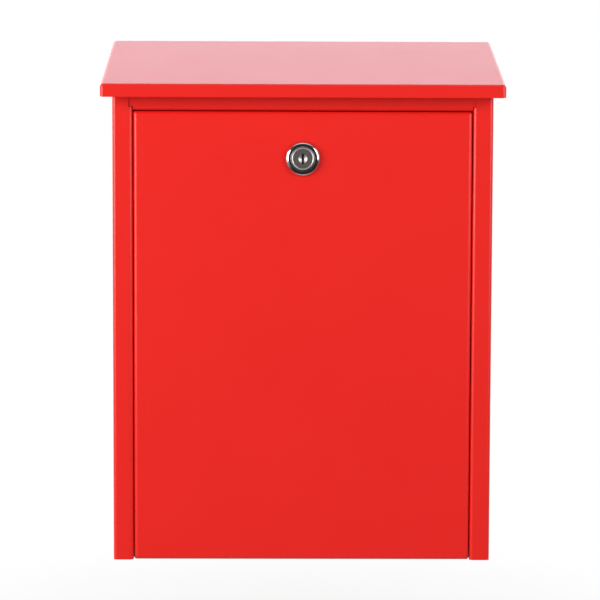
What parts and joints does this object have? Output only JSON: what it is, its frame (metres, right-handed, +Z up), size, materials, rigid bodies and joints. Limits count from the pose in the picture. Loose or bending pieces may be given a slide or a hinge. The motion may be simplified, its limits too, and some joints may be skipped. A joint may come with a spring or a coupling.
{
  "type": "wall mounted post box",
  "caption": "Red folded-steel wall post box with a sloped lift-up roof lid over a letter slot and a drop-down front door closed by a round cam lock.",
  "frame": {"origin": "middle of the rectangle of wall holes, on the outer face of the case's back, where the box meets the wall", "axes": "+X to the right for someone facing the door, +Y out of the back into the wall, +Z up along the box's height"},
  "size_m": [0.32, 0.14, 0.4208],
  "materials": {
    "red_powder_coat": "fine-textured satin powder coat on folded steel",
    "zinc_plate": "bright zinc plate",
    "lock_chrome": "polished chrome plate",
    "black_rubber": "moulded matt rubber",
    "black_nylon": "turned nylon",
    "wafer_brass": "stamped brass"
  },
  "bodies": {
    "case": {"case_wrapper": "red_powder_coat", "floor_pan": "red_powder_coat", "top_frame": "red_powder_coat", "letter_guard": "red_powder_coat", "hinge_leaf_case": "red_powder_coat", "hinge_pin": "zinc_plate", "lid_buffers": "black_rubber", "door_buffers": "black_rubber", "door_pivot_left": "zinc_plate", "door_pivot_right": "zinc_plate"},
    "door": {"door_panel": "red_powder_coat", "door_bush_left": "black_nylon", "door_bush_right": "black_nylon", "lock_housing": "lock_chrome", "lock_gasket": "black_rubber", "lock_nut": "zinc_plate"},
    "lock_core": {"lock_plug": "lock_chrome", "lock_wafers": "wafer_brass", "lock_cam": "zinc_plate", "cam_washer": "zinc_plate", "cam_screw": "zinc_plate"},
    "lid": {"lid": "red_powder_coat", "hinge_leaf_lid": "red_powder_coat"}
  },
  "joints": [
    {"name": "lid_hinge", "type": "hinge", "parent": "case", "child": "lid", "pos_m": [0, -0.0043, 0.24171], "axis": [-1, 0, 0], "range_deg": [0, 100]},
    {"name": "door_hinge", "type": "hinge", "parent": "case", "child": "door", "pos_m": [0, -0.12, -0.1698], "axis": [1, 0, 0], "range_deg": [0, 100]},
    {"name": "lock_turn", "type": "hinge", "parent": "door", "child": "lock_core", "pos_m": [0, -0.126, 0.1478], "axis": [0, -1, 0], "range_deg": [0, 90]}
  ]
}
